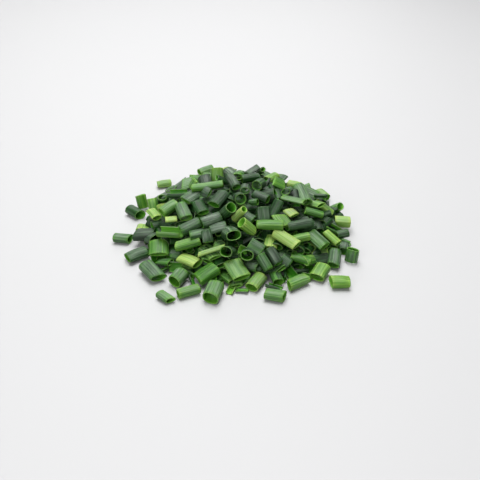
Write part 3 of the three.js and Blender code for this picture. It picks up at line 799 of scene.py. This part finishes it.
def chopped_tree():
    tree = bpy.data.node_groups.new("Chopped lengths", "GeometryNodeTree")
    for label, kind, default in TREE_INPUTS:
        tree_input(tree, label, kind, default)
    tree.interface.new_socket(name="Geometry", in_out="OUTPUT", socket_type="NodeSocketGeometry")
    inputs = tree.nodes.new("NodeGroupInput")
    given = {label: Value(tree, inputs.outputs[label]) for label, _, _ in TREE_INPUTS}
    shapes = add(tree, "GeometryNodeJoinGeometry")
    # The last link comes out first, so the ring is shape 0 and the split wall is shape 1.
    for shape in (split_wall, closed_ring):
        one = add(tree, "GeometryNodeGeometryToInstance", {0: shape(tree, given["Steps"], given["Around"])})
        tree.links.new(one.socket, shapes.socket.node.inputs[0])
    is_split = calc(tree, "GREATER_THAN", named_value(tree, "split"), 0)
    copies = add(tree, "GeometryNodeInstanceOnPoints", {
        "Points": given["Geometry"], "Instance": shapes, "Pick Instance": True, "Instance Index": is_split,
    })
    lengths = add(tree, "GeometryNodeRealizeInstances", {"Geometry": copies})
    local, rest, cut = leaf_shape(tree, given)
    turn = add(tree, "FunctionNodeEulerToRotation", (named_value(tree, "turn", "FLOAT_VECTOR"),))
    turned = add(tree, "FunctionNodeRotateVector", {"Vector": local, "Rotation": turn})
    spot = named_value(tree, "spot", "FLOAT_VECTOR")
    x, y, z = split_vector(tree, add(tree, "ShaderNodeVectorMath", (turned, spot), operation="ADD"))
    place = add(tree, "ShaderNodeCombineXYZ", (x, y, calc(tree, "MAXIMUM", z, 0.0)))
    lengths = store(tree, lengths, "rest", rest, "FLOAT_VECTOR")
    lengths = store(tree, lengths, "cut", cut)
    lengths = add(tree, "GeometryNodeSetPosition", {"Geometry": lengths, "Position": place})
    # Rolled up, the faces look into the wall, so they are turned to look out.
    lengths = add(tree, "GeometryNodeFlipFaces", {"Mesh": lengths})
    lengths = add(tree, "GeometryNodeSetShadeSmooth", {"Geometry": lengths})
    lengths = add(tree, "GeometryNodeSetMaterial", {
        "Geometry": lengths, "Material": given["Leaf"],
    })
    out = tree.nodes.new("NodeGroupOutput")
    tree.links.new(lengths.socket, out.inputs[0])
    return tree


LEAVES = chopped_tree()
FINE = {"Steps": 10, "Around": 32}
PLAIN = {"Steps": 6, "Around": 20}
COARSE = {"Steps": 3, "Around": 10}
print("tree", LEAVES.name, "nodes", len(LEAVES.nodes))

# %% [markdown]
# ## The leaf's surface
#
# Chive leaf is dark green under a thin grey bloom of wax. Fine veins run along it, so both colour and wax
# come in long streaks. Inside, where there is no wax, the green is brighter and wet, and brighter still as
# painted glow of light through the thin wall. A fresh cut is pale, and paler still as painted highlight where
# it catches the light.
# The streaks must follow each leaf however it lies, so the pattern reads the attribute that keeps the place
# on the unrolled leaf, not the place in the room.

# %% A shader group for the streaks
def new_group(name, inputs, outputs):
    group = bpy.data.node_groups.new(name, "ShaderNodeTree")
    for label, kind, default in inputs:
        tree_input(group, label, kind, default)
    for label, kind in outputs:
        group.interface.new_socket(name=label, in_out="OUTPUT", socket_type=kind)
    given = group.nodes.new("NodeGroupInput")
    out = group.nodes.new("NodeGroupOutput")
    values = {label: Value(group, given.outputs[label]) for label, _, _ in inputs}
    return group, values, out


def mix_colour(tree, share, first, second):
    node = tree.nodes.new("ShaderNodeMix")
    node.data_type = "RGBA"
    feed(tree, node.inputs[0], share)
    feed(tree, node.inputs[6], first)
    feed(tree, node.inputs[7], second)
    return Value(tree, node.outputs[2])


def streak_group():
    group, given, out = new_group("Streaks along a leaf", [
        ("Place", "NodeSocketVector", None),
        ("Seed", "NodeSocketFloat", 0.0),
        ("Across", "NodeSocketFloat", 1.0),
        ("Along", "NodeSocketFloat", 0.08),
        ("Low", "NodeSocketFloat", 0.4),
        ("High", "NodeSocketFloat", 0.6),
    ], [("Streak", "NodeSocketFloat")])
    x, y, z = split_vector(group, given["Place"])
    seed = given["Seed"] * 60
    spot = add(group, "ShaderNodeCombineXYZ", (
        x * given["Along"] + seed, y * given["Across"], z * given["Across"],
    ))
    noise = add(group, "ShaderNodeTexNoise", {"Vector": spot, "Scale": 1.0, "Detail": 2.0, "Roughness": 0.5})
    streak = add(group, "ShaderNodeMapRange", {
        "Value": noise, "From Min": given["Low"], "From Max": given["High"],
    })
    group.links.new(streak.socket, out.inputs["Streak"])
    return group


STREAKS = streak_group()


def use_group(tree, group, inputs, output=0):
    node = tree.nodes.new("ShaderNodeGroup")
    node.node_tree = group
    for name, value in inputs.items():
        feed(tree, node.inputs[name], value)
    return Value(tree, node.outputs[output])


def streaks(tree, place, seed, across, along, low, high):
    return use_group(tree, STREAKS, {
        "Place": place, "Seed": seed, "Across": across, "Along": along, "Low": low, "High": high,
    })


# %% Colours from dark to pale
OUTSIDE = [(0.0, "08220a"), (0.3, "1e5012"), (0.55, "48841a"), (0.8, "79a63a"), (1.0, "a4c05c")]
# The inside's green is brighter partly because it has no wax and partly as painted glow of light through the
# thin wall.
INSIDE_WITH_GLOW = [(0.0, "2d7c16"), (1.0, "7ab83c")]
VEIN_GREEN = "0c2410"
# The grey of the wax, which on the leaves' tops also serves as painted sheen.
WAX_AND_SHEEN_GREY = "8a9a88"
# A pale cut face, paler still as painted highlight where the rim catches the light.
CUT_AND_HIGHLIGHT_GREEN = "8fa868"


def colour(hex_code):
    parts = [int(hex_code[i:i + 2], 16) / 255 for i in (0, 2, 4)]
    linear = [c / 12.92 if c <= 0.04045 else ((c + 0.055) / 1.055) ** 2.4 for c in parts]
    return (*linear, 1.0)


def colour_ramp(tree, share, stops):
    ramp = tree.nodes.new("ShaderNodeValToRGB")
    elements = ramp.color_ramp.elements
    while len(elements) < len(stops):
        elements.new(0.5)
    for element, (position, code) in zip(elements, stops):
        element.position = position
        element.color = colour(code)
    feed(tree, ramp.inputs[0], clamped(share, 0, 1))
    return Value(tree, ramp.outputs[0])


print("outside colours", len(OUTSIDE), "inside colours", len(INSIDE_WITH_GLOW))

# %% What the surface reads from each leaf
BROAD = {"across": 0.8, "along": 0.05, "low": 0.35, "high": 0.65}
VEINS = {"across": 2.0, "along": 0.04, "low": 0.36, "high": 0.64}
BLOOM = {"across": 0.7, "along": 0.12, "low": 0.3, "high": 0.75}
BLOOM_SEED = 0.4
CUT_GLOW_REACH = 1.8


def attribute(tree, name, output="Fac"):
    node = tree.nodes.new("ShaderNodeAttribute")
    node.attribute_name = name
    return Value(tree, node.outputs[output])


def read_leaf(tree):
    leaf = {name: attribute(tree, name) for name in ("seed", "tone", "wax", "through", "cut")}
    place = attribute(tree, "rest", "Vector")
    leaf["height"] = split_vector(tree, place)[2]
    leaf["broad"] = streaks(tree, place, leaf["seed"], **BROAD)
    leaf["fine"] = streaks(tree, place, leaf["seed"], **VEINS)
    leaf["bloom"] = streaks(tree, place, leaf["seed"] + BLOOM_SEED, **BLOOM)
    # How near a point is to a cut, where the green is lightened as painted glow of light through the thin
    # wall.
    leaf["near_cut"] = 1 - clamped(leaf["cut"] / CUT_GLOW_REACH, 0, 1)
    return leaf


# %% [markdown]
# ### The outside, the inside and the cut
#
# Outside, broad and fine streaks shift the tone, the veins are darkest on dark leaves, and the wax lies over
# both. The wax gathers between the veins, and more grey is laid on a leaf's upper side as painted sheen for
# the light falling on the tops. Near the cuts the wax fades and the green is lighter, as painted glow of
# light through the thin wall.

# %% Green under grey bloom, with painted sheen and painted glow
BROAD_SHIFT = 0.16
VEIN_SHIFT = 0.14
# How much the outside's green is lightened near a cut, as painted glow.
PAINTED_CUT_GLOW = 0.12


def wax_and_top_sheen(leaf):
    # More grey on a leaf's upper side: painted sheen for the light falling on the tops.
    painted_sheen_on_top = clamped(0.55 + leaf["height"] / 4.5, 0.2, 1)
    in_patches = 0.15 + 0.85 * leaf["bloom"]
    between_veins = 0.3 + 0.7 * leaf["fine"]
    # The wax fades near the cuts, so the painted glow there shows.
    return leaf["wax"] * painted_sheen_on_top * in_patches * between_veins * (1 - leaf["near_cut"] * 0.8)


def outside_colour(tree, leaf, wax_and_sheen):
    shade = leaf["tone"] + (leaf["broad"] - 0.5) * BROAD_SHIFT + (leaf["fine"] - 0.5) * VEIN_SHIFT
    # Near a cut the tone is raised: painted glow of light through the thin wall.
    green = colour_ramp(tree, shade + leaf["near_cut"] * PAINTED_CUT_GLOW, OUTSIDE)
    veined = (1 - leaf["fine"]) * (0.52 - 0.32 * leaf["tone"])
    green = mix_colour(tree, veined, green, colour(VEIN_GREEN))
    return mix_colour(tree, clamped(wax_and_sheen, 0, 1), green, colour(WAX_AND_SHEEN_GREY))


def inside_colour(tree, leaf):
    # The inside is also lighter near a cut: painted glow.
    return colour_ramp(tree, leaf["tone"] + (leaf["broad"] - 0.5) * 0.3 + leaf["near_cut"] * 0.2, INSIDE_WITH_GLOW)


# %% The leaf's material
VEIN_DEPTH = 0.2 * MM
SOFT_REACH = 1.2 * MM


def leaf_material():
    material = bpy.data.materials.new("chive leaf")
    material.use_nodes = True
    tree = material.node_tree
    shader = tree.nodes["Principled BSDF"]
    leaf = read_leaf(tree)
    wax_and_sheen = wax_and_top_sheen(leaf)
    is_inner = calc(tree, "GREATER_THAN", leaf["through"], 0.75)
    on_cut = 1 - clamped(calc(tree, "ABSOLUTE", leaf["through"] - 0.5) * 2.2, 0, 1)
    surface = mix_colour(tree, is_inner, outside_colour(tree, leaf, wax_and_sheen), inside_colour(tree, leaf))
    # The cut is mixed towards pale green: partly its own colour, partly painted highlight.
    surface = mix_colour(tree, on_cut * 0.6, surface, colour(CUT_AND_HIGHLIGHT_GREEN))
    tree.links.new(surface.socket, shader.inputs["Base Color"])
    rough = 0.42 + 0.14 * wax_and_sheen + 0.08 * leaf["fine"] - 0.08 * is_inner
    tree.links.new(rough.socket, shader.inputs["Roughness"])

    bump = tree.nodes.new("ShaderNodeBump")
    bump.inputs["Strength"].default_value = 0.6
    bump.inputs["Distance"].default_value = VEIN_DEPTH
    tree.links.new((leaf["fine"] * 0.6 + leaf["broad"] * 0.4).socket, bump.inputs["Height"])
    tree.links.new(bump.outputs[0], shader.inputs["Normal"])
    shader.inputs["Subsurface Weight"].default_value = 0.12
    shader.inputs["Subsurface Radius"].default_value = (0.3, 1.0, 0.2)
    shader.inputs["Subsurface Scale"].default_value = SOFT_REACH
    shader.inputs["Specular IOR Level"].default_value = 0.35
    shader.inputs["Coat Weight"].default_value = 0.04
    shader.inputs["Coat Roughness"].default_value = 0.3
    return material


LEAF = leaf_material()
print("finish", LEAF.name, "nodes", len(LEAF.node_tree.nodes))

# %% [markdown]
# ## Making the lengths
#
# Each object starts as a mesh of bare points, one for every length in it, with that length's sizes as
# attributes. The tree turns the points into leaves, the result becomes a plain mesh, and the modifier goes.

# %% What differs from length to length
looks = np.random.default_rng(20)
TONE_WITH_PAINTED_SHADE = {"middle": 0.12, "outwards": 0.4, "spread": 0.19, "least": 0}
WAX_WITH_PAINTED_SHADE = {"middle": 0.36, "outwards": 0.28, "spread": 0.32, "least": 0.03}
WALL = 0.4
WALL_SHARE = 0.3
SHUT_CREASE = 0.1
MAX_CREASE = 0.6
FULLER = 0.45
DENT = 0.16
SQUEEZE = 0.35
BEND = 0.006
SWAY = 0.008


# Leaves further out in the heap are paler and greyer, and those in its middle darker: painted light and
# shade, spread by chance.
def drawn(look, out):
    value = looks.normal(look["middle"] + look["outwards"] * out, look["spread"])
    return float(np.clip(value, look["least"], 1))


def any_crease(flat):
    return min(MAX_CREASE, flat * looks.uniform(0.5, 1.2)) - looks.uniform(0, FULLER)


def details(found):
    leaf = found["leaf"]
    thick = leaf["thick"]
    flat = 1 - thick / leaf["width"]
    shut = thick <= SHUT_THICK + SAME
    out = math.sqrt(outness(HEAP, *found["pose"][:2]))
    tone = leaf.get("tone", drawn(TONE_WITH_PAINTED_SHADE, out))
    return {
        "length": leaf["length"],
        "width": leaf["width"],
        "thick": thick,
        "split": leaf["split"],
        "slant_near": leaf["slant"][0],
        "slant_far": leaf["slant"][1],
        "wall": min(WALL, thick * WALL_SHARE),
        "crease": SHUT_CREASE if shut else any_crease(flat),
        "dent": 0.0 if shut or leaf["split"] else looks.uniform(0, DENT) * (looks.random() < 0.5),
        "squeeze": 0.0 if shut else looks.uniform(0, SQUEEZE),
        "squeezed_end": looks.choice([-1.0, 1.0]),
        "wave": looks.uniform(-WAVE, WAVE),
        "bend": looks.uniform(-BEND, BEND),
        "sway": looks.uniform(-SWAY, SWAY),
        "seed": looks.random(),
        "tone": tone,
        "wax": leaf.get("wax", drawn(WAX_WITH_PAINTED_SHADE, out)),
    }


# %% A mesh of bare points, one for each length
def points_mesh(name, lengths, rows):
    mesh = bpy.data.meshes.new(name + "_points")
    spots = [
        ((f["pose"][0] + MOVE[0]) * MM, (f["pose"][1] + MOVE[1]) * MM, f["z"] * MM) for f in lengths
    ]
    turns = [(f["pose"][4], -f["pose"][3], f["pose"][2]) for f in lengths]
    mesh.from_pydata(spots, [], [])
    for key in rows[0]:
        values = mesh.attributes.new(key, "FLOAT", "POINT")
        values.data.foreach_set("value", [float(row[key]) for row in rows])
    for key, vectors in (("turn", turns), ("spot", spots)):
        values = mesh.attributes.new(key, "FLOAT_VECTOR", "POINT")
        values.data.foreach_set("vector", np.array(vectors).ravel())
    return mesh


# %% From points to a plain mesh
# What the finish reads stays on the mesh, and what only the tree needed goes.
FINISH_READS = ("tone", "wax", "seed", "rest", "cut", "through")


def make_lengths(name, lengths, rows, detail):
    points = points_mesh(name, lengths, rows)
    piece = bpy.data.objects.new(name, points)
    bpy.context.collection.objects.link(piece)
    modifier = piece.modifiers.new("Chopped lengths", "NODES")
    modifier.node_group = LEAVES
    for label, value in {"Leaf": LEAF, **detail}.items():
        modifier[LEAVES.interface.items_tree[label].identifier] = value
    shown = piece.evaluated_get(bpy.context.evaluated_depsgraph_get())
    finished = bpy.data.meshes.new_from_object(shown)
    finished.name = name
    piece.modifiers.clear()
    piece.data = finished
    bpy.data.meshes.remove(points)
    for key in [*rows[0], "turn", "spot", "along_step", "around", "rim"]:
        if key not in FINISH_READS and key in finished.attributes:
            finished.attributes.remove(finished.attributes[key])
    return piece


def signed_volume(mesh):
    total = 0.0
    for face in mesh.loop_triangles:
        a, b, c = (mesh.vertices[i].co for i in face.vertices)
        total += a.dot(b.cross(c)) / 6
    return total


# %% The named lengths, one object each
DARK_UNDER = 0.35
MID_UNDER = 0.65


def slot_of(tone):
    return "leaf_dark" if tone < DARK_UNDER else "leaf_mid" if tone < MID_UNDER else "leaf_light"


def dress(piece, node, slot):
    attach(piece, "root")
    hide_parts(node)


for found in named:
    name = found["leaf"]["name"]
    piece = make_lengths(name + "_leaf", [found], [details(found)], FINE)
    dress(piece, name, slot_of(found["leaf"]["tone"]))

# A volume above zero says that the faces look outwards.
print("volume of the last", signed_volume(piece.data) / MM**3, "mm3, faces", len(piece.data.polygons))

# %% [markdown]
# The rest of the heap becomes one object for each tone, and the lengths deep inside, which hardly show, get
# an object of their own with far fewer faces.

# %% The heap, tone by tone
def make_heap(name, lengths, rows, detail, slot):
    piece = make_lengths(name, lengths, rows, detail)
    dress(piece, "heap", slot)
    print(piece.name, len(lengths), "lengths,", len(piece.data.polygons), "faces")


fill = held + under + over
fill_rows = [details(found) for found in fill]
for slot in ("leaf_dark", "leaf_mid", "leaf_light"):
    chosen = [n for n, row in enumerate(fill_rows) if slot_of(row["tone"]) == slot]
    make_heap("heap_" + slot, [fill[n] for n in chosen], [fill_rows[n] for n in chosen], PLAIN, slot)
make_heap("heap_deep_leaf", deep, [details(found) for found in deep], COARSE, "leaf_dark")

# %% The scraps, one object
piece = make_lengths("scraps_leaf", scraps, [details(found) for found in scraps], PLAIN)
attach(piece, "root")
print(piece.name, len(scraps), "scraps,", len(piece.data.polygons), "faces")

# %% [markdown]
# ## The stage
#
# A plain pale floor and three soft lights: one overhead, a wider one behind and a smaller one in front. The
# light from behind makes the tops with their wax go grey, and the dim surround keeps the gaps in the heap
# dark.

# %% The floor
FLOOR_HALF = 1.5
FLOOR_GREY = (0.52, 0.52, 0.525, 1)
FLOOR_ROUGHNESS = 0.6

floor_mesh = bpy.data.meshes.new("floor")
floor_mesh.from_pydata(
    [(-FLOOR_HALF, -FLOOR_HALF, 0), (FLOOR_HALF, -FLOOR_HALF, 0),
     (FLOOR_HALF, FLOOR_HALF, 0), (-FLOOR_HALF, FLOOR_HALF, 0)],
    [], [(0, 1, 2, 3)],
)
floor = bpy.data.objects.new("floor", floor_mesh)
bpy.context.collection.objects.link(floor)
floor_finish = bpy.data.materials.new("pale floor")
floor_finish.use_nodes = True
floor_shader = floor_finish.node_tree.nodes["Principled BSDF"]
floor_shader.inputs["Base Color"].default_value = FLOOR_GREY
floor_shader.inputs["Roughness"].default_value = FLOOR_ROUGHNESS
floor_mesh.materials.append(floor_finish)
print("floor", 2 * FLOOR_HALF, "m wide")

# %% The light: where each stands, how wide it is, in metres, and its power in watts
SURROUND = 0.1
LIGHTS = {
    "overhead light": ((0.0, 0.15, 0.8), 0.6, 9.0),
    "back light": ((-0.1, 0.75, 0.5), 0.8, 3.6),
    "front light": ((-0.3, -0.6, 0.4), 0.5, 2.6),
}


def soft_light(name, place, size, power):
    data = bpy.data.lights.new(name, "AREA")
    data.shape = "SQUARE"
    data.size = size
    data.energy = power
    light = bpy.data.objects.new(name, data)
    light.location = place
    light.rotation_euler = (-Vector(place)).to_track_quat("-Z", "Y").to_euler()
    bpy.context.collection.objects.link(light)


for name, (place, size, power) in LIGHTS.items():
    soft_light(name, place, size, power)
world = bpy.data.worlds.new("studio")
world.use_nodes = True
surround = world.node_tree.nodes["Background"]
surround.inputs["Color"].default_value = (1, 1, 1, 1)
surround.inputs["Strength"].default_value = SURROUND
bpy.context.scene.world = world
bpy.context.scene.view_settings.view_transform = "Standard"
print("lights", len(LIGHTS))

# %% [markdown]
# ## The camera
#
# It looks down by a little more than a third of a right angle, from thirty centimetres. The aim pixel is
# where the frame shows the floor at the rule's zero.

# %% Camera
ELEVATION = math.radians(33)
DISTANCE = 0.300
PIXELS = 480
FOCAL_PIXELS = 630
SENSOR = 36.0
AIM_PIXEL = (242, 225)

camera_data = bpy.data.cameras.new("camera")
camera_data.sensor_width = SENSOR
camera_data.lens = SENSOR * FOCAL_PIXELS / PIXELS
camera = bpy.data.objects.new("camera", camera_data)
bpy.context.collection.objects.link(camera)
target = Vector((MOVE[0] * MM, MOVE[1] * MM, 0))
camera.location = target + DISTANCE * Vector((0, -math.cos(ELEVATION), math.sin(ELEVATION)))
pitch = math.atan((PIXELS / 2 - AIM_PIXEL[1]) / FOCAL_PIXELS)
yaw = math.atan((AIM_PIXEL[0] - PIXELS / 2) / FOCAL_PIXELS)
camera.rotation_euler = (math.pi / 2 - ELEVATION - pitch, 0, yaw)
bpy.context.scene.camera = camera
print("lens", camera_data.lens, "mm")
